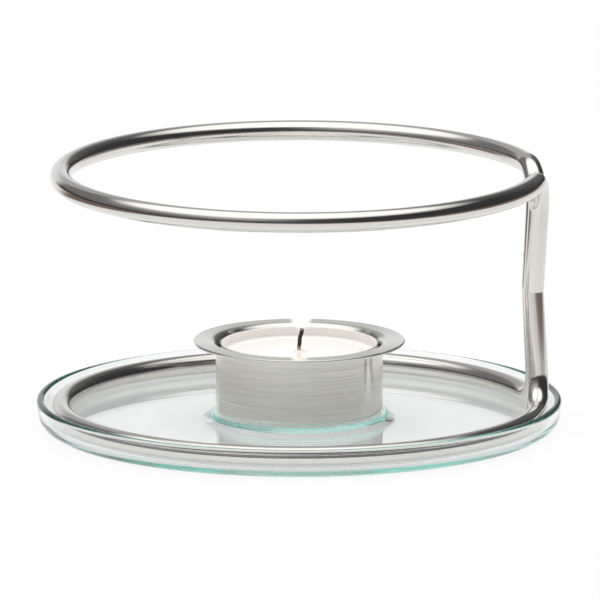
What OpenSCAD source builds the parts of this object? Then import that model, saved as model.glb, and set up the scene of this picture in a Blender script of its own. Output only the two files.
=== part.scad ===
// Teapot warmer: a glass dish, a bent-rod frame, a candle cup and a tealight.
// Millimetres, +Z up. The dish stands on z = 0 and the two legs of the frame are at +X.

/* [Rod frame] */
// thickness of the round rod
rod_d = 5; // [4:0.5:6]
// diameter of both rings, measured on the centre line of the rod
ring_d = 116; // [100:1:140]
// height from the base ring to the support ring, centre line to centre line
ring_rise = 57.5; // [50:0.5:70]
// centre-line radius of the bend between a ring and a leg
bend_r = 9; // [7:0.5:11]
// angle at which the two legs lean toward each other
leg_pinch = 3; // [2:0.5:8]
// angle at which the legs lean in over the dish
leg_lean = 3.8; // [0:0.2:6]
// gap between the two legs where they come closest, at mid height
leg_gap = 0.3; // [0.2:0.1:1]
// how much thicker the rod is in a bend, where it was pressed round the former
bend_over = 0.1; // [0.06:0.02:0.2]

/* [Glass dish] */
// thickness of the dish floor
floor_t = 2; // [1.6:0.1:3]
// thickness of the dish wall
wall_t = 1.8; // [1.4:0.1:2.4]
// gap between the base ring and the foot of the dish wall
ring_clear = 0.9; // [0.7:0.1:2]
// angle at which the dish wall leans out
wall_lean = 6; // [2:0.5:12]
// height of the dish lip above the top of the base ring
lip_over = 0.2; // [0:0.1:2]
// radius of the outside edge under the dish wall
foot_r = 4; // [3:0.25:4.5]
// radius inside, where the dish floor turns up into the wall
corner_r = 2.2; // [1.5:0.1:2.4]
// gap left under the base ring where it stands on the dish floor
rest_gap = 0.05; // [0.05:0.05:0.2]

/* [Seat for the candle cup] */
// height of the seat above the dish floor
seat_rise = 1.9; // [1.2:0.1:3]
// how far the flat of the seat reaches beyond the candle cup
seat_clear = 0.4; // [0.2:0.1:1.5]
// radius of the rounded edge of the seat
seat_edge_r = 1.4; // [1:0.1:2]
// radius where the seat meets the dish floor
seat_foot_r = 2.2; // [1.6:0.1:3]

/* [Candle cup] */
// thickness of the candle cup sheet
cup_t = 0.7; // [0.5:0.1:1]
// height of the candle cup, from the seat to the top of its flange
cup_h = 17.6; // [16:0.2:20]
// width of the flange beyond the outside of the cup
flange_w = 5.4; // [4:0.2:8]
// outside radius at the bottom of the cup
cup_corner_r = 1.2; // [1.1:0.1:2]
// radius under the flange where the cup turns outward
throat_r = 1.6; // [0.8:0.1:2.4]

/* [Tealight] */
// outside diameter of the tealight
light_d = 38; // [36:0.2:40]
// gap between the tealight and the inside of the candle cup
light_clear = 0.65; // [0.4:0.05:1]
// height of the tealight shell
light_h = 16.3; // [14:0.1:17]
// thickness of the tealight shell
shell_t = 0.4; // [0.3:0.05:0.6]
// radius at the bottom edge of the shell
shell_corner_r = 0.9; // [0.8:0.1:1.5]
// depth of the wax surface below the rim of the shell
pool_drop = 2.3; // [1:0.1:5]
// gap between the wax and the shell, wick and sustainer
wax_gap = 0.1; // [0.05:0.05:0.2]
// thickness of the wick
wick_d = 1.1; // [0.8:0.1:1.6]
// bend of the wick above the wax
wick_bend = 20; // [5:1:40]
// radius of the curve the wick takes above the wax
wick_r = 14; // [10:0.5:20]
// straight part of the wick above the wax
wick_straight = 0.8; // [0.4:0.1:2]
// diameter of the sustainer plate that holds the wick upright
plate_d = 13; // [10:0.5:16]
// thickness of the sustainer plate
plate_t = 0.3; // [0.2:0.05:0.5]
// height of the collar on the sustainer plate
collar_h = 3; // [2:0.2:5]
// wall of the collar round the wick
collar_t = 0.4; // [0.3:0.05:0.6]

/* [Hidden] */
$fn = 128;

ring_r = ring_d / 2;
base_z = floor_t + rest_gap + rod_d / 2;
half_rise = ring_rise / 2;

// the leg: how far the bend turns, how long the straight is and where the ring ends
bend_a = 90 - leg_pinch;
bend_d = rod_d + bend_over;
tuck = 4 * bend_over;
tuck_a = atan2(tuck, ring_r);
leg_len = (half_rise / cos(leg_lean) - bend_r * (1 - cos(bend_a))) / sin(bend_a);
leg_reach = bend_r * sin(bend_a) + leg_len * cos(bend_a);
weld_r = ring_r - half_rise * tan(leg_lean);
weld_y = (rod_d + leg_gap) / 2;
end_a = atan2(leg_reach, weld_r) + asin(weld_y / sqrt(weld_r * weld_r + leg_reach * leg_reach));

dish_h = base_z + rod_d / 2 + lip_over;
wall_in_r = ring_r + rod_d / 2 + ring_clear;
wall_out_r = wall_in_r + wall_t;
lean_x = cos(wall_lean);
lean_z = sin(wall_lean);
lip_r = wall_t * lean_x / 2;
lip_z = dish_h - lip_r;
lip_x = wall_in_r + wall_t / 2 + lip_z * tan(wall_lean);
foot_x = wall_out_r + foot_r * tan(wall_lean) - foot_r / lean_x;
corner_z = floor_t + corner_r;
corner_x = wall_in_r + corner_z * tan(wall_lean) - corner_r / lean_x;

cup_r = light_d / 2 + light_clear + cup_t;
seat_r = cup_r + seat_clear;
seat_z = floor_t + seat_rise;

// the side of the seat: how steep it gets, where its edge turns into its foot and where the foot ends
side_r = seat_edge_r + seat_foot_r;
side_a = acos(1 - seat_rise / side_r);
side_x = seat_r + seat_edge_r * sin(side_a);
side_z = seat_z - seat_edge_r * (1 - cos(side_a));
seat_foot_x = seat_r + side_r * sin(side_a);
seat_foot_z = floor_t + seat_foot_r;

flange_r = cup_r + flange_w;
throat_x = cup_r + throat_r;
throat_z = cup_h - cup_t - throat_r;
corner_cup_x = cup_r - cup_corner_r;

light_z = seat_z + cup_t;
light_r = light_d / 2;
shell_x = light_r - shell_corner_r;
pool_z = light_z + light_h - pool_drop;
wax_base_z = light_z + shell_t;
wax_r = light_r - shell_t - wax_gap;
collar_d = wick_d + 2 * wax_gap + 2 * collar_t;
wick_base_z = wax_base_z + plate_t;

// a quarter of a ring drawn round the origin, in the quarter toward [sx, sy]
module quarter_ring(outer_r, inner_r, sx, sy) {
    intersection() {
        difference() {
            circle(r = outer_r);
            circle(r = inner_r);
        }
        translate([sx > 0 ? 0 : -outer_r, sy > 0 ? 0 : -outer_r])
            square(outer_r);
    }
}

// half section of the dish floor and wall
module dish_section() {
    difference() {
        union() {
            polygon([
                [0, 0],
                [foot_x, 0],
                [foot_x + foot_r * lean_x, foot_r - foot_r * lean_z],
                [lip_x + lip_r * lean_x, lip_z - lip_r * lean_z],
                [lip_x - lip_r * lean_x, lip_z + lip_r * lean_z],
                [corner_x + corner_r * lean_x, corner_z - corner_r * lean_z],
                [corner_x, floor_t],
                [0, floor_t]
            ]);
            intersection() {
                translate([foot_x, foot_r])
                    circle(r = foot_r);
                translate([foot_x, 0])
                    square([foot_r, foot_r]);
            }
            translate([lip_x, lip_z])
                circle(r = lip_r);
        }
        translate([corner_x, corner_z])
            circle(r = corner_r);
    }
}

// half section of the raised seat, with its rounded edge and foot
module seat_section() {
    difference() {
        polygon([
            [0, floor_t / 2],
            [seat_foot_x, floor_t / 2],
            [seat_foot_x, floor_t],
            [side_x, side_z],
            [seat_r, seat_z],
            [0, seat_z]
        ]);
        translate([seat_foot_x, seat_foot_z])
            circle(r = seat_foot_r);
    }
    intersection() {
        translate([seat_r, seat_z - seat_edge_r])
            circle(r = seat_edge_r);
        polygon([
            [seat_r, seat_z],
            [seat_r + seat_edge_r * tan(side_a / 2), seat_z],
            [side_x, side_z]
        ]);
    }
}

// half section of the hollow under the seat, which leaves the glass as thick there as the dish floor
module hollow_section() {
    difference() {
        translate([0, -floor_t])
            square([seat_foot_x, floor_t + seat_rise]);
        translate([seat_foot_x, seat_foot_z])
            circle(r = seat_foot_z);
    }
}

module glass_dish() {
    color([0.80, 0.92, 0.88])
        rotate_extrude()
            difference() {
                union() {
                    dish_section();
                    seat_section();
                }
                hollow_section();
            }
}

// the end of the ring on the -Y side: the bend, and the straight leg that starts inside it
module bend_and_leg() {
    rotate([0, 0, -end_a])
        translate([ring_r, 0, 0])
            rotate([0, -leg_lean, 0])
                translate([0, 0, bend_r])
                    rotate([0, 90, 0]) {
                        rotate_extrude(angle = bend_a)
                            translate([bend_r, 0])
                                circle(d = bend_d);
                        rotate([0, 0, bend_a])
                            translate([bend_r, -tuck, 0])
                                rotate([-90, 0, 0])
                                    cylinder(h = tuck + leg_len + rod_d, d = rod_d);
                    }
}

// half of the frame, standing on its ring: the ring and its two legs, cut level at mid height
module rod_half() {
    difference() {
        union() {
            rotate([0, 0, end_a - tuck_a])
                rotate_extrude(angle = 360 - 2 * (end_a - tuck_a))
                    translate([ring_r, 0])
                        circle(d = rod_d);
            bend_and_leg();
            mirror([0, 1, 0])
                bend_and_leg();
        }
        translate([0, -ring_r, half_rise])
            cube([ring_d, ring_d, 2 * rod_d]);
    }
}

module base_ring_rod() {
    color([0.78, 0.78, 0.77])
        translate([0, 0, base_z])
            rod_half();
}

module support_ring_rod() {
    color([0.74, 0.74, 0.73])
        translate([0, 0, base_z + ring_rise])
            mirror([0, 0, 1])
                rod_half();
}

// half section of the candle cup sheet, standing on z = 0
module cup_section() {
    square([corner_cup_x, cup_t]);
    translate([corner_cup_x, cup_corner_r])
        quarter_ring(cup_corner_r, cup_corner_r - cup_t, 1, -1);
    translate([cup_r - cup_t, cup_corner_r])
        square([cup_t, throat_z - cup_corner_r]);
    translate([throat_x, throat_z])
        quarter_ring(throat_r + cup_t, throat_r, -1, 1);
    translate([throat_x, cup_h - cup_t])
        square([flange_r - cup_t / 2 - throat_x, cup_t]);
    translate([flange_r - cup_t / 2, cup_h - cup_t / 2])
        circle(d = cup_t);
}

module candle_cup() {
    color([0.66, 0.66, 0.64])
        translate([0, 0, seat_z])
            rotate_extrude()
                cup_section();
}

// half section of the tealight shell, standing on z = 0
module shell_section() {
    square([shell_x, shell_t]);
    translate([shell_x, shell_corner_r])
        quarter_ring(shell_corner_r, shell_corner_r - shell_t, 1, -1);
    translate([light_r - shell_t, shell_corner_r])
        square([shell_t, light_h - shell_t / 2 - shell_corner_r]);
    translate([light_r - shell_t / 2, light_h - shell_t / 2])
        circle(d = shell_t);
}

module tealight_cup() {
    color([0.93, 0.90, 0.86])
        translate([0, 0, light_z])
            rotate_extrude()
                shell_section();
}

module tealight_wax() {
    color([0.97, 0.96, 0.94])
        difference() {
            translate([0, 0, wax_base_z])
                cylinder(h = pool_z - wax_base_z, r = wax_r);
            translate([0, 0, wax_base_z - 1])
                cylinder(h = plate_t + wax_gap + 1, d = plate_d + 2 * wax_gap);
            translate([0, 0, wax_base_z - 1])
                cylinder(h = plate_t + collar_h + wax_gap + 1, d = collar_d + 2 * wax_gap);
            translate([0, 0, wax_base_z])
                cylinder(h = pool_z, d = wick_d + 2 * wax_gap);
            translate([0, 0, wax_base_z - 1])
                difference() {
                    cylinder(h = shell_corner_r + 1, r = wax_r + 1);
                    translate([0, 0, -1])
                        cylinder(h = shell_corner_r + 3, r = wax_r - shell_corner_r);
                }
        }
}

module wick() {
    color([0.16, 0.11, 0.08])
        translate([0, 0, wick_base_z]) {
            cylinder(h = pool_z + wick_straight - wick_base_z, d = wick_d);
            translate([wick_r, 0, pool_z + wick_straight - wick_base_z])
                rotate([90, 0, 0])
                    mirror([1, 0, 0])
                        rotate_extrude(angle = wick_bend)
                            translate([wick_r, 0])
                                circle(d = wick_d);
        }
}

module wick_sustainer() {
    color([0.70, 0.70, 0.70])
        translate([0, 0, wax_base_z])
            difference() {
                union() {
                    cylinder(h = plate_t, d = plate_d);
                    cylinder(h = plate_t + collar_h, d = collar_d);
                }
                translate([0, 0, plate_t])
                    cylinder(h = collar_h + 1, d = wick_d + 2 * wax_gap);
            }
}

glass_dish();
base_ring_rod();
support_ring_rod();
candle_cup();
tealight_cup();
tealight_wax();
wick();
wick_sustainer();
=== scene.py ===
"""Looks of a teapot warmer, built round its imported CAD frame.

A glass dish carries a bent-rod frame and a candle cup with a lit tealight.
Metres, +Z up. The dish stands on z = 0 and the legs of the frame are at +X.
"""

import math

import bmesh
import bpy
from bpy.props import FloatProperty, FloatVectorProperty, PointerProperty
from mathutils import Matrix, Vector


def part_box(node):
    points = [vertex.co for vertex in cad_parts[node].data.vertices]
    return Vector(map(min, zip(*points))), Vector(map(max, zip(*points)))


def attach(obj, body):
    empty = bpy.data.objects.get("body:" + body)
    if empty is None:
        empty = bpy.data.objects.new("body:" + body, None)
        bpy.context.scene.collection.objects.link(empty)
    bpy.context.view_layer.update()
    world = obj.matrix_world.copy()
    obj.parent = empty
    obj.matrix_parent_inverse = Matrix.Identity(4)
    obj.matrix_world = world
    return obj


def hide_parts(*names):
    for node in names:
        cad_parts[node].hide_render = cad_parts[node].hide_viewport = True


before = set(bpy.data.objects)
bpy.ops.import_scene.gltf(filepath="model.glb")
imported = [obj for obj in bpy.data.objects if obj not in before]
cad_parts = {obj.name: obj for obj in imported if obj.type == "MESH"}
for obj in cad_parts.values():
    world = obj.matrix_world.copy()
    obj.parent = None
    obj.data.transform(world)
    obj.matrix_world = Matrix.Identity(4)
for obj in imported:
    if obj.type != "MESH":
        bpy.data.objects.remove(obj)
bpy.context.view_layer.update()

bl_info = {
    "name": "Teapot warmer",
    "version": (1, 0, 0),
    "blender": (4, 5, 0),
    "location": "View3D > Sidebar > Warmer",
    "description": "Dresses the CAD frame of a glass and steel teapot warmer",
    "category": "Object",
}

MM = 0.001
FULL_TURN = 2 * math.pi
WHITE = (1.0, 1.0, 1.0)
# edges that turn by more than this stay sharp
SHARP_EDGE = math.radians(40)
# a point of a section that is nearer to the axis than this lies on it
ON_AXIS = 1e-9
# how often light may turn in the glass, or pass a layer of the flame, before it is lost
LIGHT_TURNS = 64

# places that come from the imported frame
DISH_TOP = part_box("glass_dish")[1]
ROD_LOW, ROD_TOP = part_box("base_ring_rod")
CUP_LOW, CUP_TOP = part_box("candle_cup")
SHELL_LOW, SHELL_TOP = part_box("tealight_cup")
WAX_LOW, WAX_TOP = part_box("tealight_wax")
WICK_LOW, WICK_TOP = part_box("wick")


def length(name, description, default):
    """A size that the sidebar shows in the scene's own units."""
    return FloatProperty(
        name=name, description=description, default=default, min=0, precision=4, unit="LENGTH"
    )


def angle(name, description, degrees):
    """An angle that the sidebar shows in degrees."""
    return FloatProperty(
        name=name, description=description, default=math.radians(degrees), subtype="ANGLE"
    )


def power(name, description, default):
    """The power of a lamp in watts."""
    return FloatProperty(
        name=name, description=description, default=default, min=0, precision=5, unit="POWER"
    )


def amount(name, description, default):
    """A strength or a share, which has no unit."""
    return FloatProperty(name=name, description=description, default=default, min=0)


def colour(name, description, default):
    """A colour in scene values, without alpha."""
    return FloatVectorProperty(
        name=name, description=description, default=default, size=3, min=0, max=1, subtype="COLOR"
    )


class WarmerSizes(bpy.types.PropertyGroup):
    """Sizes of the pieces that the frame's boxes don't give."""

    rod_d: length("Rod", "Thickness of the round rod", 5 * MM)
    ring_rise: length("Ring rise", "Height from the base ring's centre to the support ring's", 57.5 * MM)
    bend_r: length("Bend", "Centre-line radius between a ring and a leg", 9 * MM)
    leg_gap: length("Leg gap", "Gap between the two legs at mid height", 0.3 * MM)
    leg_pinch: angle("Leg pinch", "Lean of the two legs toward each other", 3)
    leg_lean: angle("Leg lean", "Lean of the legs in over the dish", 3.8)
    floor_t: length("Dish floor", "Thickness of the dish floor", 2 * MM)
    wall_t: length("Dish wall", "Thickness of the dish wall", 1.8 * MM)
    wall_lean: angle("Wall lean", "Lean of the dish wall outward", 6)
    foot_r: length("Foot round", "Radius outside, under the dish wall", 4 * MM)
    corner_r: length("Corner round", "Radius inside, from the floor to the wall", 2.2 * MM)
    seat_r: length("Seat", "Radius of the flat of the raised seat for the candle cup", 20.75 * MM)
    seat_edge_r: length("Seat edge", "Radius of the rounded edge of the seat", 1.4 * MM)
    seat_foot_r: length("Seat foot", "Radius from the seat to the dish floor", 2.2 * MM)
    cup_t: length("Cup sheet", "Thickness of the candle cup sheet", 0.7 * MM)
    flange_w: length("Flange", "Width of the flange beyond the cup wall", 5.4 * MM)
    cup_corner_r: length("Cup corner", "Outside radius at the bottom of the cup", 1.2 * MM)
    cup_hollow: length("Cup hollow", "Rise of the cup's underside inside its foot", 0.2 * MM)
    cup_gap: length("Cup gap", "Air between the cup and the glass it stands on", 0.02 * MM)
    throat_r: length("Throat", "Radius under the flange", 1.6 * MM)
    shell_t: length("Shell", "Thickness of the tealight shell", 0.4 * MM)
    shell_corner_r: length("Shell corner", "Radius at the bottom of the shell", 0.9 * MM)
    meniscus: length("Meniscus", "Rise of the molten wax at the shell and the wick", 0.35 * MM)
    wick_d: length("Wick", "Thickness of the wick", 1.1 * MM)
    wick_r: length("Wick curve", "Radius of the curve the wick takes", 14 * MM)
    wick_bend: angle("Wick bend", "Turn of the wick above the wax", 20)
    wick_straight: length("Wick straight", "Straight part of the wick above the wax", 0.8 * MM)
    braid_pitch: length("Braid pitch", "Height over which a strand of the wick winds round once", 7.2 * MM)
    flame_w: length("Flame width", "Width of the flame at its widest", 5.4 * MM)
    flame_h: length("Flame height", "Height of the flame above the wick", 9.6 * MM)
    flame_root: length("Flame root", "Depth below the wick's tip at which the flame starts", 0.8 * MM)
    flame_sway: length("Flame sway", "Shift of the flame's tip from the middle toward -X", 0.5 * MM)


class WarmerColours(bpy.types.PropertyGroup):
    """Colours of the finishes."""

    glass: colour("Glass", "Light that the glass lets through over a long path", (0.0, 0.80, 0.67))
    steel: colour("Steel", "Polished rod", (0.77, 0.75, 0.715))
    steel_shade: colour("Steel shade", "Polished rod in its drawn lines", (0.69, 0.67, 0.635))
    brushed: colour("Brushed steel", "Candle cup", (0.83, 0.83, 0.78))
    brushed_shade: colour("Brushed shade", "Candle cup in its brush lines", (0.71, 0.71, 0.665))
    shell: colour("Shell", "Tealight shell", (0.97, 0.92, 0.87))
    wax: colour("Wax", "Firm wax", (0.92, 0.90, 0.87))
    pool: colour("Pool", "Molten wax", (0.95, 0.92, 0.90))
    char: colour("Charred wick", "Burnt part of the wick", (0.040, 0.022, 0.015))
    cotton: colour("Cotton wick", "Wick at the wax", (0.62, 0.50, 0.33))
    flame: colour("Flame", "Body of the flame", (1.0, 0.99, 0.96))
    flame_root: colour("Flame root", "Flame round the wick", (1.0, 0.97, 0.93))
    glow: colour("Glow", "Light that the flame throws", (1.0, 0.82, 0.64))
    tin: colour("Tin plate", "Plate that holds the wick", (0.60, 0.60, 0.59))


class WarmerStage(bpy.types.PropertyGroup):
    """Camera, lamps and surroundings."""

    distance: length("Distance", "From the camera to the warmer", 5.0)
    picture_w: length("Picture width", "Width that the picture takes in at the warmer", 145.9 * MM)
    aim_z: length("Aim height", "Height of the middle of the picture", 31.3 * MM)
    aim_side: length("Aim side", "Middle of the picture to the right of the dish's axis", 0.2 * MM)
    elevation: angle("Elevation", "Height of the camera above the horizon", 11.48)
    azimuth: angle("Azimuth", "Turn of the camera round the warmer", -3.8)
    room_r: length("Room", "Radius of the floor and of the tent over it", 1.5)
    table_r: length("Table", "Radius from which the steel mirrors the table, not the white floor", 0.11)
    floor_gap: length("Floor gap", "Air between the floor and the dish", 0.2 * MM)
    floor_t: length("Floor", "Thickness of the floor", 1.8 * MM)
    lamp_side: length("Lamp side", "Side of the square overhead lamp", 0.9)
    lamp_z: length("Lamp height", "Height of the overhead lamp", 0.9)
    lamp_back: length("Lamp back", "Shift of the overhead lamp toward the back", 0.1)
    lamp_power: power("Lamp power", "Power of the overhead lamp", 6.5)
    glow_power: power("Glow power", "Power of the lamp inside the flame", 0.0003)
    even_light: amount("Even light", "Strength of the light from all round", 0.5)
    tent_light: amount("Tent light", "Strength of the tent that the steel mirrors", 1.4)
    floor_tone: amount("Floor tone", "Paleness of the floor in the light that falls on it", 0.95)
    floor_white: amount("Floor white", "Share of plain white in the floor that shows", 0.88)
    floor_through: amount("Floor through glass", "Part of that share that shows through the dish", 0.55)
    white: colour("White", "Floor and backdrop", WHITE)
    dark: colour("Dark", "Unlit part of the tent", (0.03, 0.03, 0.033))
    table: colour("Table top", "Table beside the white paper", (0.20, 0.145, 0.12))


class Link:
    """A socket of a shader that is used in sums as a number or a vector is."""

    def __init__(self, shader, socket):
        self.shader = shader
        self.socket = socket

    def other(self, name):
        """Another output of the same node."""
        return Link(self.shader, self.socket.node.outputs[name])

    def parts(self):
        """The three values of a vector."""
        x = self.shader.make("ShaderNodeSeparateXYZ", None, {0: self})
        return x, x.other("Y"), x.other("Z")

    def maths(self, operation, *terms):
        """A Math node, or a Vector Math node where this socket is a vector."""
        if self.socket.type != "VECTOR":
            return self.shader.make("ShaderNodeMath", {"operation": operation}, dict(enumerate(terms)))
        spread = [t if isinstance(t, (Link, tuple)) else (t, t, t) for t in terms]
        return self.shader.make("ShaderNodeVectorMath", {"operation": operation}, dict(enumerate(spread)))

    def apply(self, operation, *terms):
        """An operation on this value, such as its cosine, and on others where it takes them."""
        return self.maths(operation, self, *terms)

    def __add__(self, term):
        return self.maths("ADD", self, term)

    def __radd__(self, term):
        return self.maths("ADD", term, self)

    def __sub__(self, term):
        return self.maths("SUBTRACT", self, term)

    def __rsub__(self, term):
        return self.maths("SUBTRACT", term, self)

    def __mul__(self, term):
        return self.maths("MULTIPLY", self, term)

    def __rmul__(self, term):
        return self.maths("MULTIPLY", term, self)

    def __truediv__(self, term):
        return self.maths("DIVIDE", self, term)

    def __rtruediv__(self, term):
        return self.maths("DIVIDE", term, self)

    def __pow__(self, term):
        return self.maths("POWER", self, term)

    def __rpow__(self, term):
        return self.maths("POWER", term, self)


class Shader:
    """The nodes of one finish. Every node comes from make()."""

    def __init__(self, tree):
        self.tree = tree
        tree.nodes.clear()

    def make(self, kind, settings=None, sockets=None, out=0):
        """Adds a node, sets it up, fills its sockets and gives back one of its outputs."""
        node = self.tree.nodes.new(kind)
        for name, value in (settings or {}).items():
            setattr(node, name, value)
        for name, value in (sockets or {}).items():
            if isinstance(value, Link):
                self.tree.links.new(value.socket, node.inputs[name])
            else:
                node.inputs[name].default_value = value
        return Link(self, node.outputs[out]) if node.outputs else None

    def point(self):
        """The place of a point on the piece."""
        return self.make("ShaderNodeTexCoord", out="Object")

    def vector(self, x, y, z):
        """A vector from three values."""
        return self.make("ShaderNodeCombineXYZ", None, {0: x, 1: y, 2: z})

    def noise(self, vector, scale, detail=2.0, roughness=0.5):
        """Soft noise from 0 to 1."""
        sockets = {"Vector": vector, "Scale": scale, "Detail": detail, "Roughness": roughness}
        return self.make("ShaderNodeTexNoise", None, sockets)

    def step(self, value, low, high):
        """0 below low, 1 above high and a smooth rise between."""
        sockets = {"Value": value, "From Min": low, "From Max": high}
        return self.make("ShaderNodeMapRange", {"interpolation_type": "SMOOTHSTEP"}, sockets)

    def mix(self, share, first, second):
        """The first colour, turning into the second as share goes from 0 to 1."""
        pair = {6: opaque(first), 7: opaque(second)}
        return self.make("ShaderNodeMix", {"data_type": "RGBA"}, {0: share, **pair}, out=2)

    def bump(self, height, strength, depth):
        """The normal of a surface with fine relief."""
        sockets = {"Height": height, "Strength": strength, "Distance": depth}
        return self.make("ShaderNodeBump", None, sockets)

    def either(self, share, first, second):
        """The first shader, turning into the second as share goes from 0 to 1."""
        return self.make("ShaderNodeMixShader", None, {0: share, 1: first, 2: second})


def opaque(value):
    """A colour with its alpha, or a link as it is."""
    return value if isinstance(value, Link) else (*value, 1.0)


def darker(tone, share):
    """A colour at a share of its brightness."""
    return tuple(share * c for c in tone)


def away(x, y):
    """How far a point of a plane lies from its middle."""
    return (x * x + y * y) ** 0.5


def finish(name, paint, *values):
    """A material whose nodes paint() adds. paint() gives back the surface, or surface and volume."""
    material = bpy.data.materials.new(name)
    material.use_nodes = True
    shader = Shader(material.node_tree)
    made = paint(shader, *values)
    ends = made if isinstance(made, tuple) else (made,)
    shader.make("ShaderNodeOutputMaterial", None, dict(zip(("Surface", "Volume"), ends)))
    return material


def clear_glass(shader, colours):
    """Pressed glass with a green edge, a little wavy, with faint wiping marks."""
    point = shader.point()
    wave = shader.noise(point, scale=55.0, detail=1.0)
    smear = shader.noise(point * (1.0, 3.0, 1.0), scale=60.0, detail=4.0)
    body = shader.make("ShaderNodeBsdfPrincipled", None, {
        "Base Color": opaque(WHITE),
        "Roughness": shader.step(smear, low=0.55, high=0.8) * 0.02,
        "IOR": 1.52,
        "Transmission Weight": 1.0,
        "Normal": shader.bump(wave, strength=0.06, depth=0.3 * MM),
    })
    tint = shader.make("ShaderNodeVolumeAbsorption", None, {"Color": opaque(colours.glass), "Density": 8.0})
    return body, tint


def polished_steel(shader, colours):
    """Drawn and polished rod: fine lines along its length, with dull patches from handling."""
    along, around, _ = shader.make("ShaderNodeUVMap", {"uv_map": "run"}).parts()
    turn = around * FULL_TURN
    rod = shader.vector(along * 2.0, turn.apply("COSINE"), turn.apply("SINE"))
    drawn = shader.noise(rod, scale=9.0, detail=3.0)
    handled = shader.step(shader.noise(shader.point(), scale=45.0, detail=3.0), low=0.45, high=0.7)
    lines = shader.step(drawn, low=0.4, high=0.7)
    return shader.make("ShaderNodeBsdfPrincipled", None, {
        "Base Color": shader.mix(lines, colours.steel, colours.steel_shade),
        "Metallic": 1.0,
        "Roughness": 0.11 + drawn * 0.06 + handled * 0.04,
        "Normal": shader.bump(drawn, strength=0.10, depth=0.05 * MM),
    })


def brushed_steel(shader, colours):
    """Spun sheet, brushed round its axis."""
    point = shader.point()
    x, y, z = point.parts()
    strokes = shader.vector(x * 40.0, y * 40.0, (z + away(x, y)) * 4800.0)
    brush = shader.noise(strokes, scale=1.0, detail=4.0, roughness=0.7)
    cloudy = shader.noise(point * (1.0, 1.0, 3.0), scale=70.0)
    lines = shader.step(brush, low=0.35, high=0.65)
    return shader.make("ShaderNodeBsdfPrincipled", None, {
        "Base Color": shader.mix(lines, colours.brushed, colours.brushed_shade),
        "Metallic": 1.0,
        "Roughness": 0.14 + brush * 0.06 + cloudy * 0.03,
        "Anisotropic": 1.0,
        "Anisotropic Rotation": 0.25,
        "Normal": shader.bump(brush, strength=0.06, depth=0.05 * MM),
    })


def shell_white(shader, colours):
    """Thin pale shell with faint drawing lines down its wall."""
    drawn = shader.noise(shader.point() * (900.0, 900.0, 60.0), scale=1.0)
    lines = shader.step(drawn, low=0.3, high=0.8)
    return shader.make("ShaderNodeBsdfPrincipled", None, {
        "Base Color": shader.mix(lines, colours.shell, darker(colours.shell, 0.96)),
        "Roughness": 0.32 + drawn * 0.1,
        "Normal": shader.bump(drawn, strength=0.05, depth=0.05 * MM),
    })


def molten_wax(shader, colours):
    """White wax with a glossy molten pool that turns dull at the shell."""
    point = shader.point()
    x, y, _ = point.parts()
    ragged = shader.noise(point, scale=320.0, detail=3.0) * (2.2 * MM)
    firm = shader.step(away(x, y) + ragged, low=0.80 * WAX_TOP.x, high=0.98 * WAX_TOP.x)
    return shader.make("ShaderNodeBsdfPrincipled", None, {
        "Base Color": shader.mix(firm, colours.pool, colours.wax),
        "Roughness": 0.08 + firm * 0.3,
        "Subsurface Weight": 0.25,
        "Subsurface Radius": (4.0, 3.0, 2.4),
        "Subsurface Scale": 0.5 * MM,
        "IOR": 1.44,
        "Normal": shader.bump(shader.noise(point, scale=260.0), strength=0.08, depth=0.1 * MM),
    })


def wick_cotton(shader, colours):
    """Braided cotton, pale where it leaves the wax and charred above."""
    point = shader.point()
    height = point.parts()[2]
    fibre = shader.noise(point * (3.0, 3.0, 1.0), scale=1800.0, detail=3.0)
    burnt = shader.step(height + fibre * (0.9 * MM), low=WAX_TOP.z + 0.8 * MM, high=WAX_TOP.z + 2.2 * MM)
    return shader.make("ShaderNodeBsdfPrincipled", None, {
        "Base Color": shader.mix(burnt, colours.cotton, colours.char),
        "Roughness": 0.75 + fibre * 0.2,
        "Normal": shader.bump(fibre, strength=0.5, depth=0.1 * MM),
    })


def flame_light(shader, colours):
    """Thin glowing gas, fainter round the wick. The flame is several layers of it."""
    height = shader.point().parts()[2]
    body = shader.step(height, low=WICK_TOP.z - 0.6 * MM, high=WICK_TOP.z + 2.0 * MM)
    light = shader.mix(body, colours.flame_root, colours.flame)
    glow = shader.make("ShaderNodeEmission", None, {"Color": light, "Strength": 1.4})
    gap = shader.make("ShaderNodeBsdfTransparent")
    return shader.either(body * 0.10 + 0.015, gap, glow)


def tin_plate(shader, colours):
    """Dull stamped plate."""
    grain = shader.noise(shader.point(), scale=1500.0, detail=3.0)
    return shader.make("ShaderNodeBsdfPrincipled", None, {
        "Base Color": shader.mix(grain, colours.tin, darker(colours.tin, 0.8)),
        "Metallic": 1.0,
        "Roughness": 0.35 + grain * 0.2,
        "Normal": shader.bump(grain, strength=0.1, depth=0.05 * MM),
    })


def arc(centre, radius, start, stop, steps):
    """Points of an arc in a half section, from one angle in degrees to another."""
    angles = [math.radians(start + (stop - start) * i / steps) for i in range(steps + 1)]
    return [(centre[0] + radius * math.cos(a), centre[1] + radius * math.sin(a)) for a in angles]


def circle(shape, radius, z, steps):
    """Points of a level circle round the axis, added to a shape."""
    turns = [FULL_TURN * i / steps for i in range(steps)]
    return [shape.verts.new((radius * math.cos(a), radius * math.sin(a), z)) for a in turns]


def to_mesh(name, shape):
    """The mesh of a finished shape, which is let go."""
    mesh = bpy.data.meshes.new(name)
    shape.to_mesh(mesh)
    shape.free()
    return mesh


def smooth(mesh):
    """Shades a mesh smooth, with edges kept where it turns sharply."""
    mesh.shade_smooth()
    mesh.set_sharp_from_angle(angle=SHARP_EDGE)
    return mesh


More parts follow.
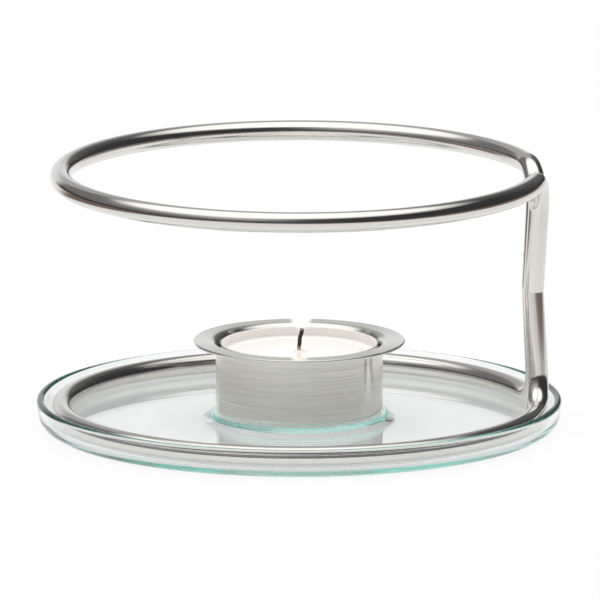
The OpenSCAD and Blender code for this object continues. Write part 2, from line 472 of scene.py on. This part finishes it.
def lathe(name, section, steps=192):
    """A mesh turned round the Z axis from a half section that starts and ends on the axis."""
    shape = bmesh.new()
    rings = []
    for r, z in section:
        on_axis = r < ON_AXIS
        rings.append([shape.verts.new((0, 0, z))] * steps if on_axis else circle(shape, r, z, steps))
    for low, high in zip(rings, rings[1:]):
        for i in range(steps):
            j = (i + 1) % steps
            shape.faces.new(list(dict.fromkeys([low[i], low[j], high[j], high[i]])))
    bmesh.ops.recalc_face_normals(shape, faces=shape.faces)
    return smooth(to_mesh(name, shape))


def tube(name, path, radius, sides, level=None):
    """A mesh swept along a path, with its run and turn as a UV map.

    radius is a number, or a function of run and turn.
    Where level is given, both ends are flat at that height.
    """
    shape = bmesh.new()
    uv = shape.loops.layers.uv.new("run")
    heading = [(b - a).normalized() for a, b in zip(path, path[1:])]
    heading = [heading[0], *[(a + b).normalized() for a, b in zip(heading, heading[1:])], heading[-1]]
    side = heading[0].orthogonal().normalized()
    runs = [0.0]
    rings = []
    for i, point in enumerate(path):
        if i:
            side = heading[i - 1].rotation_difference(heading[i]) @ side
            runs.append(runs[-1] + (point - path[i - 1]).length)
        cross = heading[i].cross(side)
        ring = []
        for j in range(sides):
            a = FULL_TURN * j / sides
            r = radius(runs[-1], a) if callable(radius) else radius
            spot = point + r * (math.cos(a) * side + math.sin(a) * cross)
            if level is not None and i in (0, len(path) - 1):
                spot += heading[i] * ((level - spot.z) / heading[i].z)
            ring.append(shape.verts.new(spot))
        rings.append(ring)
    for i in range(len(rings) - 1):
        for j in range(sides):
            k = (j + 1) % sides
            face = shape.faces.new([rings[i][j], rings[i][k], rings[i + 1][k], rings[i + 1][j]])
            spots = [(i, j), (i, j + 1), (i + 1, j + 1), (i + 1, j)]
            for loop, (a, b) in zip(face.loops, spots):
                loop[uv].uv = (runs[a], b / sides)
    shape.faces.new(rings[0])
    shape.faces.new(rings[-1])
    bmesh.ops.recalc_face_normals(shape, faces=shape.faces)
    return smooth(to_mesh(name, shape))


def join(name, meshes):
    """One mesh made of several."""
    shape = bmesh.new()
    for mesh in meshes:
        shape.from_mesh(mesh)
        bpy.data.meshes.remove(mesh)
    return smooth(to_mesh(name, shape))


def flat_ring(name, inner, outer, steps=96):
    """A flat ring on the floor."""
    shape = bmesh.new()
    near, far = [circle(shape, r, 0, steps) for r in (inner, outer)]
    for i in range(steps):
        j = (i + 1) % steps
        shape.faces.new([near[i], far[i], far[j], near[j]])
    return to_mesh(name, shape)


def put(name, mesh, material):
    """Puts a mesh with its finish in the scene."""
    thing = bpy.data.objects.new(name, mesh)
    bpy.context.scene.collection.objects.link(thing)
    mesh.materials.append(material)
    return thing


def add_piece(name, mesh, material, body, node=None):
    """Puts a piece in the scene, on its body and in place of its CAD node."""
    piece = put(name, mesh, material)
    even = piece.modifiers.new("even_flats", "WEIGHTED_NORMAL")
    even.weight = 100
    even.keep_sharp = True
    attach(piece, body)
    if node:
        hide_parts(node)
    return piece


def add_stage(name, mesh, material):
    """Puts a floor or tent in the scene, which is no part of the warmer."""
    thing = put(name, mesh, material)
    return thing


def shown_light(shader, through=1.0):
    """1 for rays straight from the camera or mirrored, through for rays that come through glass."""
    straight = shader.make("ShaderNodeLightPath", out="Is Camera Ray")
    bent = straight.other("Is Transmission Ray")
    mirrored = straight.other("Is Glossy Ray") * (1 - bent)
    return straight.apply("MAXIMUM", mirrored).apply("MAXIMUM", bent * through)


def white_floor(shader, stage):
    """Pale floor that shows white and keeps part of the shadow."""
    tone = darker(stage.white, stage.floor_tone)
    matt = shader.make("ShaderNodeBsdfDiffuse", None, {"Color": opaque(tone)})
    light = shader.make("ShaderNodeEmission", None, {"Color": opaque(stage.white), "Strength": 1.0})
    return shader.either(shown_light(shader, stage.floor_through) * stage.floor_white, matt, light)


class Surroundings:
    """Directions round the warmer, for the stage pieces that only the steel and the glass show."""

    def __init__(self, shader):
        self.shader = shader
        self.x, self.y, self.z = shader.point().parts()
        self.facing = self.x.apply("ARCTAN2", 0 - self.y)

    def toward(self, degrees, full, none):
        """1 within full degrees of a direction and 0 beyond none. 0 is the camera's side, 90 the right."""
        turn = self.facing - math.radians(degrees)
        low, high = math.cos(math.radians(none)), math.cos(math.radians(full))
        return self.shader.step(turn.apply("COSINE"), low, high)

    def across(self, degrees):
        """How far to the right of a line through the middle, which slants to the right toward the back."""
        turn = math.radians(degrees)
        return self.x * math.cos(turn) - self.y * math.sin(turn)

    def light(self, dark, strength, *levels):
        """White light at the highest of some levels, and a dark colour where all are 0."""
        level = levels[0]
        for other in levels[1:]:
            level = level.apply("MAXIMUM", other)
        shade = self.shader.mix(level, dark, WHITE)
        return self.shader.make("ShaderNodeEmission", None, {"Color": shade, "Strength": strength})


def light_tent(shader, stage):
    """A wide soft box overhead, a pale left side, a pale backdrop and a dark room."""
    room = Surroundings(shader)
    height = (room.z / stage.room_r).apply("ARCSINE")

    def above(low, high):
        """0 below one height in degrees and 1 above another."""
        return shader.step(height, math.radians(low), math.radians(high))

    # the soft box is an oval on a flat ceiling, and these are its sizes for a ceiling 1 high
    box_left, box_front = 0.22, 0.02
    half_width, half_depth = 1.03, 0.80
    ceiling = room.z.apply("MAXIMUM", 0.05 * stage.room_r)
    across = (room.x / ceiling + box_left) / half_width
    depth = (room.y / ceiling + box_front) / half_depth
    box = 1 - shader.step(away(across, depth), low=0.7, high=1.3)
    left = room.toward(-62, full=15, none=70) * above(8, 48) * 0.5
    grey = room.toward(-110, full=60, none=140) * above(5, 14) * 0.11
    backdrop = room.toward(-172, full=14, none=28) * ((1 - above(12, 22)) * 0.3 + 0.3)
    return room.light(stage.dark, stage.tent_light, box, left, grey, backdrop)


def room_floor(shader, stage):
    """White paper with slanting sides on a brown table, and the foot of the pale backdrop. The paper
    carries painted shade that darkens it away from the middle.
    """
    room = Surroundings(shader)
    left_side = shader.step(room.across(28), low=-0.19, high=-0.155)
    right_side = shader.step(room.across(11), low=0.268, high=0.298)
    paper = left_side * (1 - right_side)
    # painted shade: the paper goes from 0.95 near the middle to 0.7 farther out, as if less light falls
    # there
    paper_falloff_shade = 0.95 - shader.step(away(room.x, room.y), low=0.1, high=0.5) * 0.25
    backdrop = room.toward(-178, full=28, none=50) * 0.95
    return room.light(stage.table, 1.0, paper * paper_falloff_shade, backdrop)


class WARMER_OT_stage(bpy.types.Operator):
    """Makes the floor, the light tent, the lamp, the world and the camera"""

    bl_idname = "warmer.stage"
    bl_label = "Stage"

    def execute(self, context):
        stage = context.scene.warmer_stage
        edge, top, bottom = stage.room_r, -stage.floor_gap, -stage.floor_gap - stage.floor_t
        slab = lathe("floor", [(0, top), (edge, top), (edge, bottom), (0, bottom)], steps=64)
        add_stage("floor", slab, finish("white_floor", white_floor, stage))
        side = arc((0, 0), edge, 0, 90, steps=24)[:-1]
        dome = lathe("light_tent", [*side, (0, edge)], steps=96)
        tent = add_stage("light_tent", dome, finish("light_tent", light_tent, stage))
        ring = flat_ring("room_floor", stage.table_r, edge)
        table = add_stage("room_floor", ring, finish("room_floor", room_floor, stage))
        table.visible_transmission = False
        for shown in (tent, table):
            shown.visible_camera = False
            shown.visible_diffuse = False
            shown.visible_shadow = False
        self.add_lamp(context, stage)
        self.light_world(context, stage)
        self.add_camera(context, stage)
        context.scene.view_settings.view_transform = "Standard"
        paths = context.scene.cycles
        paths.max_bounces = paths.glossy_bounces = paths.transmission_bounces = LIGHT_TURNS
        paths.transparent_max_bounces = LIGHT_TURNS
        return {"FINISHED"}

    def add_lamp(self, context, stage):
        """One large soft lamp overhead. The steel and the glass show the tent's soft box in its place."""
        lamp = bpy.data.lights.new("overhead_lamp", "AREA")
        lamp.size = stage.lamp_side
        lamp.energy = stage.lamp_power
        holder = bpy.data.objects.new("overhead_lamp", lamp)
        holder.location = (0, stage.lamp_back, stage.lamp_z)
        holder.visible_glossy = False
        holder.visible_transmission = False
        context.scene.collection.objects.link(holder)

    def light_world(self, context, stage):
        """Even light from all round, white where it shows."""
        world = bpy.data.worlds.new("white_room")
        world.use_nodes = True
        shader = Shader(world.node_tree)
        tone = opaque(stage.white)
        soft = shader.make("ShaderNodeBackground", None, {"Color": tone, "Strength": stage.even_light})
        white = shader.make("ShaderNodeBackground", None, {"Color": tone, "Strength": 1.0})
        surface = shader.either(shown_light(shader), soft, white)
        shader.make("ShaderNodeOutputWorld", None, {"Surface": surface})
        context.scene.world = world

    def add_camera(self, context, stage):
        """The photograph's view: far off, a little above and a little to the left."""
        camera = bpy.data.cameras.new("camera")
        camera.sensor_width = 36.0
        camera.lens = camera.sensor_width * stage.distance / stage.picture_w
        a, e = stage.azimuth, stage.elevation
        back = Vector((math.sin(a) * math.cos(e), -math.cos(a) * math.cos(e), math.sin(e)))
        right = Vector((math.cos(a), math.sin(a), 0))
        holder = bpy.data.objects.new("camera", camera)
        holder.location = Vector((0, 0, stage.aim_z)) + right * stage.aim_side + back * stage.distance
        holder.rotation_euler = back.to_track_quat("Z", "Y").to_euler()
        context.scene.collection.objects.link(holder)
        context.scene.camera = holder


class WARMER_OT_glass_dish(bpy.types.Operator):
    """Turns the glass dish with its rounded lip and raised seat"""

    bl_idname = "warmer.glass_dish"
    bl_label = "Glass dish"

    def execute(self, context):
        sizes, colours = context.scene.warmer_sizes, context.scene.warmer_colours
        mesh = lathe("dish", self.section(sizes), steps=256)
        material = finish("clear_glass", clear_glass, colours)
        dish = add_piece("dish", mesh, material, "dish", "glass_dish")
        dish.visible_shadow = False
        return {"FINISHED"}

    def section(self, sizes):
        """Half section, from the underside round the lip to the seat."""
        lean = sizes.wall_lean
        tilt = math.degrees(lean)
        lip_r = sizes.wall_t * math.cos(lean) / 2
        lip = (DISH_TOP.x - lip_r, DISH_TOP.z - lip_r)
        wall_in = lip[0] - sizes.wall_t / 2 - lip[1] * math.tan(lean)
        foot_x = wall_in + sizes.wall_t + sizes.foot_r * math.tan(lean) - sizes.foot_r / math.cos(lean)
        corner_z = sizes.floor_t + sizes.corner_r
        corner_x = wall_in + corner_z * math.tan(lean) - sizes.corner_r / math.cos(lean)
        rise = CUP_LOW.z - sizes.floor_t
        both_r = sizes.seat_edge_r + sizes.seat_foot_r
        slope = math.acos(1 - rise / both_r)
        steep = math.degrees(slope)
        under_r = sizes.floor_t + sizes.seat_foot_r
        seat_foot = (sizes.seat_r + both_r * math.sin(slope), under_r)
        seat_edge = (sizes.seat_r, CUP_LOW.z - sizes.seat_edge_r)
        meet = math.degrees(math.asin((under_r - rise) / under_r))
        return [
            (0, rise),
            *arc(seat_foot, under_r, 180 + meet, 270, steps=16),
            *arc((foot_x, sizes.foot_r), sizes.foot_r, -90, -tilt, steps=16),
            *arc(lip, lip_r, -tilt, 180 - tilt, steps=20),
            *arc((corner_x, corner_z), sizes.corner_r, -tilt, -90, steps=12),
            *arc(seat_foot, sizes.seat_foot_r, 270, 270 - steep, steps=12),
            *arc(seat_edge, sizes.seat_edge_r, 90 - steep, 90, steps=12),
            (0, CUP_LOW.z),
        ]


class WARMER_OT_rod_frame(bpy.types.Operator):
    """Bends the two halves of the rod frame, each a ring with two legs"""

    bl_idname = "warmer.rod_frame"
    bl_label = "Rod frame"

    def execute(self, context):
        sizes, colours = context.scene.warmer_sizes, context.scene.warmer_colours
        material = finish("polished_steel", polished_steel, colours)
        mid = ROD_TOP.z
        lower = self.half_path(sizes)
        upper = [Vector((p.x, p.y, 2 * mid - p.z)) for p in lower]
        halves = (("base_rod", lower, "base_ring_rod"), ("support_rod", upper, "support_ring_rod"))
        for name, path, node in halves:
            mesh = tube(name, path, sizes.rod_d / 2, sides=56, level=mid)
            add_piece(name, mesh, material, "rod_frame", node)
        return {"FINISHED"}

    def half_path(self, sizes):
        """Centre line of the lower half: down one leg, round the ring and up the other."""
        leg_steps, bend_steps, ring_steps = 8, 24, 288
        ring_r = -ROD_LOW.x - sizes.rod_d / 2
        half_rise = sizes.ring_rise / 2
        ring_z = ROD_TOP.z - half_rise
        lean, turn = sizes.leg_lean, math.pi / 2 - sizes.leg_pinch
        leg = (half_rise / math.cos(lean) - sizes.bend_r * (1 - math.cos(turn))) / math.sin(turn)
        reach = sizes.bend_r * math.sin(turn) + leg * math.cos(turn)
        weld_r = ring_r - half_rise * math.tan(lean)
        weld_y = (sizes.rod_d + sizes.leg_gap) / 2
        end = math.atan2(reach, weld_r) + math.asin(weld_y / math.hypot(weld_r, reach))
        out = Vector((math.cos(end), -math.sin(end), 0))
        ahead = Vector((math.sin(end), math.cos(end), 0))
        up = Vector((0, 0, math.cos(lean))) - out * math.sin(lean)
        start = out * ring_r + Vector((0, 0, ring_z))

        def bend(a):
            """The centre line after a turn in the bend."""
            return start + sizes.bend_r * (math.sin(a) * ahead + (1 - math.cos(a)) * up)

        along_leg = math.cos(turn) * ahead + math.sin(turn) * up
        near = [bend(turn) + along_leg * leg * (1 - i / leg_steps) for i in range(leg_steps)]
        near += [bend(turn * (1 - i / bend_steps)) for i in range(bend_steps)]
        around = [-end - (FULL_TURN - 2 * end) * i / ring_steps for i in range(ring_steps + 1)]
        ring = [Vector((ring_r * math.cos(a), ring_r * math.sin(a), ring_z)) for a in around]
        far = [Vector((p.x, -p.y, p.z)) for p in reversed(near)]
        return near + ring + far


class WARMER_OT_candle_cup(bpy.types.Operator):
    """Turns the candle cup with its rolled throat and flat flange"""

    bl_idname = "warmer.candle_cup"
    bl_label = "Candle cup"

    def execute(self, context):
        sizes, colours = context.scene.warmer_sizes, context.scene.warmer_colours
        mesh = lathe("cup", self.section(sizes), steps=224)
        material = finish("brushed_steel", brushed_steel, colours)
        add_piece("cup", mesh, material, "cup", "candle_cup")
        return {"FINISHED"}

    def section(self, sizes):
        """Half section, up the outside, round the flange and down the inside."""
        t, corner_r = sizes.cup_t, sizes.cup_corner_r
        wall = CUP_TOP.x - sizes.flange_w
        low = CUP_LOW.z + sizes.cup_gap
        foot = (wall - corner_r, low + corner_r)
        throat = (wall + sizes.throat_r, CUP_TOP.z - t - sizes.throat_r)
        return [
            (0, low + sizes.cup_hollow),
            (foot[0] - 3 * corner_r, low + sizes.cup_hollow),
            (foot[0] - corner_r, low),
            *arc(foot, corner_r, -90, 0, steps=10),
            *arc(throat, sizes.throat_r, 180, 90, steps=10),
            *arc((CUP_TOP.x - t / 2, CUP_TOP.z - t / 2), t / 2, -90, 90, steps=10),
            *arc(throat, sizes.throat_r + t, 90, 180, steps=12),
            *arc(foot, corner_r - t, 0, -90, steps=8),
            (0, low + t),
        ]


class WARMER_OT_tealight(bpy.types.Operator):
    """Turns the tealight's shell and pours its wax"""

    bl_idname = "warmer.tealight"
    bl_label = "Tealight"

    def execute(self, context):
        sizes, colours = context.scene.warmer_sizes, context.scene.warmer_colours
        shell = lathe("shell", self.shell_section(sizes))
        white = finish("tealight_shell", shell_white, colours)
        add_piece("shell", shell, white, "tealight", "tealight_cup")
        wax = lathe("wax", self.wax_section(sizes))
        molten = finish("molten_wax", molten_wax, colours)
        add_piece("wax", wax, molten, "tealight", "tealight_wax")
        return {"FINISHED"}

    def shell_section(self, sizes):
        """Half section, up the outside, over the round rim and down the inside."""
        t, r = sizes.shell_t, sizes.shell_corner_r
        foot = (SHELL_TOP.x - r, SHELL_LOW.z + r)
        return [
            (0, SHELL_LOW.z),
            *arc(foot, r, -90, 0, steps=8),
            *arc((SHELL_TOP.x - t / 2, SHELL_TOP.z - t / 2), t / 2, 0, 180, steps=8),
            *arc(foot, r - t, 0, -90, steps=8),
            (0, SHELL_LOW.z + t),
        ]

    def wax_section(self, sizes):
        """Half section, with the molten wax drawn up at the shell and at the wick."""
        edge, top, rise = SHELL_TOP.x - sizes.shell_t, WAX_TOP.z, sizes.meniscus
        shares = [i / 8 for i in range(9)]
        side_w, wick_from, wick_to = 3 * rise, 2 * sizes.wick_d, 0.5 * sizes.wick_d
        side = [(edge - side_w * s, top + rise * (1 - s) ** 3) for s in shares]
        middle = [(wick_from + (wick_to - wick_from) * s, top + rise * s ** 2) for s in shares]
        return [
            (0, WAX_LOW.z),
            (WAX_TOP.x - sizes.shell_corner_r, WAX_LOW.z),
            (edge, WAX_LOW.z + sizes.shell_corner_r),
            *side,
            *middle,
            (0, top + rise),
        ]


class WARMER_OT_wick(bpy.types.Operator):
    """Braids the wick, plates its holder and lights the flame"""

    bl_idname = "warmer.wick"
    bl_label = "Wick and flame"

    def execute(self, context):
        sizes, colours = context.scene.warmer_sizes, context.scene.warmer_colours
        wick = tube("braided_wick", self.wick_path(sizes), self.braid(sizes), sides=24)
        cotton = finish("wick_cotton", wick_cotton, colours)
        add_piece("braided_wick", wick, cotton, "tealight", "wick")
        light = finish("flame_light", flame_light, colours)
        flame = add_piece("flame", self.flame(sizes), light, "tealight")
        flame.visible_shadow = False
        self.add_glow(context.scene, flame)
        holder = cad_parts["wick_sustainer"]
        holder.data.materials.clear()
        holder.data.materials.append(finish("tin_plate", tin_plate, colours))
        return {"FINISHED"}

    def wick_path(self, sizes):
        """Straight up through the wax, then a curve toward +X."""
        straight_steps, curve_steps = 40, 16
        top, r = WAX_TOP.z + sizes.wick_straight, sizes.wick_r
        heights = [WICK_LOW.z + (top - WICK_LOW.z) * i / straight_steps for i in range(straight_steps)]
        turns = [sizes.wick_bend * i / curve_steps for i in range(curve_steps + 1)]
        curve = [Vector((r * (1 - math.cos(a)), 0, top + r * math.sin(a))) for a in turns]
        return [Vector((0, 0, z)) for z in heights] + curve

    def braid(self, sizes):
        """Half the thickness of the wick along and round it, with strands that wind round each other."""
        strands, relief = 3, 0.12

        def half_width(run, turn):
            """Half the thickness at one place."""
            wave = math.cos(strands * (turn + FULL_TURN * run / sizes.braid_pitch))
            return sizes.wick_d / 2 * (1 - relief + relief * wave)

        return half_width

    def flame(self, sizes):
        """Layers of a teardrop that starts round the tip of the wick and leans back as it rises."""
        layers, thinning, steps = 6, 1 / 8, 40
        swell, taper = 0.55, 1.15
        root = Vector((WICK_TOP.x - sizes.wick_d / 2, 0, WICK_TOP.z - sizes.flame_root))
        tip = Vector((-sizes.flame_sway, 0, WICK_TOP.z + sizes.flame_h))
        rise = (tip - root).length
        shares = [(1 - math.cos(math.pi * i / steps)) / 2 for i in range(1, steps)]
        path = [root.lerp(tip, s) for s in shares]
        widest = swell / (swell + taper)
        full = widest ** swell * (1 - widest) ** taper

        def layer(width):
            """One closed layer of the flame."""
            def half_width(run, turn):
                """Half the width of the layer, which is round, so the turn doesn't matter."""
                s = min(max(shares[0] + run / rise, 0.0), 1.0)
                return width / 2 * s ** swell * (1 - s) ** taper / full

            return tube("flame", path, half_width, sides=32)

        return join("flame", [layer(sizes.flame_w * (1 - thinning * i)) for i in range(layers)])

    def add_glow(self, scene, flame):
        """A small warm lamp inside the flame, which moves with it."""
        sizes = scene.warmer_sizes
        lamp = bpy.data.lights.new("flame_glow", "POINT")
        lamp.color = scene.warmer_colours.glow
        lamp.energy = scene.warmer_stage.glow_power
        lamp.shadow_soft_size = sizes.flame_w / 3
        glow = bpy.data.objects.new("flame_glow", lamp)
        glow.location = (0, 0, WICK_TOP.z + sizes.flame_h / 3)
        glow.parent = flame
        glow.visible_camera = False
        scene.collection.objects.link(glow)


class WARMER_PT_pieces(bpy.types.Panel):
    """Lists the pieces of the warmer and their sizes and colours"""

    bl_idname = "WARMER_PT_pieces"
    bl_label = "Teapot warmer"
    bl_space_type = "VIEW_3D"
    bl_region_type = "UI"
    bl_category = "Warmer"

    def draw(self, context):
        for operator in OPERATORS:
            self.layout.operator(operator.bl_idname)
        for group in [getattr(context.scene, name) for name in GROUPS]:
            box = self.layout.box()
            for name in group.bl_rna.properties.keys():
                if name not in ("rna_type", "name"):
                    box.prop(group, name)


GROUPS = {"warmer_sizes": WarmerSizes, "warmer_colours": WarmerColours, "warmer_stage": WarmerStage}
OPERATORS = (
    WARMER_OT_stage,
    WARMER_OT_glass_dish,
    WARMER_OT_rod_frame,
    WARMER_OT_candle_cup,
    WARMER_OT_tealight,
    WARMER_OT_wick,
)


def register():
    for made in (*GROUPS.values(), *OPERATORS, WARMER_PT_pieces):
        bpy.utils.register_class(made)
    for name, group in GROUPS.items():
        setattr(bpy.types.Scene, name, PointerProperty(type=group))


def unregister():
    for name in GROUPS:
        delattr(bpy.types.Scene, name)
    for made in (WARMER_PT_pieces, *reversed(OPERATORS), *GROUPS.values()):
        bpy.utils.unregister_class(made)


def main():
    register()
    bpy.ops.warmer.stage()
    bpy.ops.warmer.glass_dish()
    bpy.ops.warmer.rod_frame()
    bpy.ops.warmer.candle_cup()
    bpy.ops.warmer.tealight()
    bpy.ops.warmer.wick()


if __name__ == "__main__":
    main()
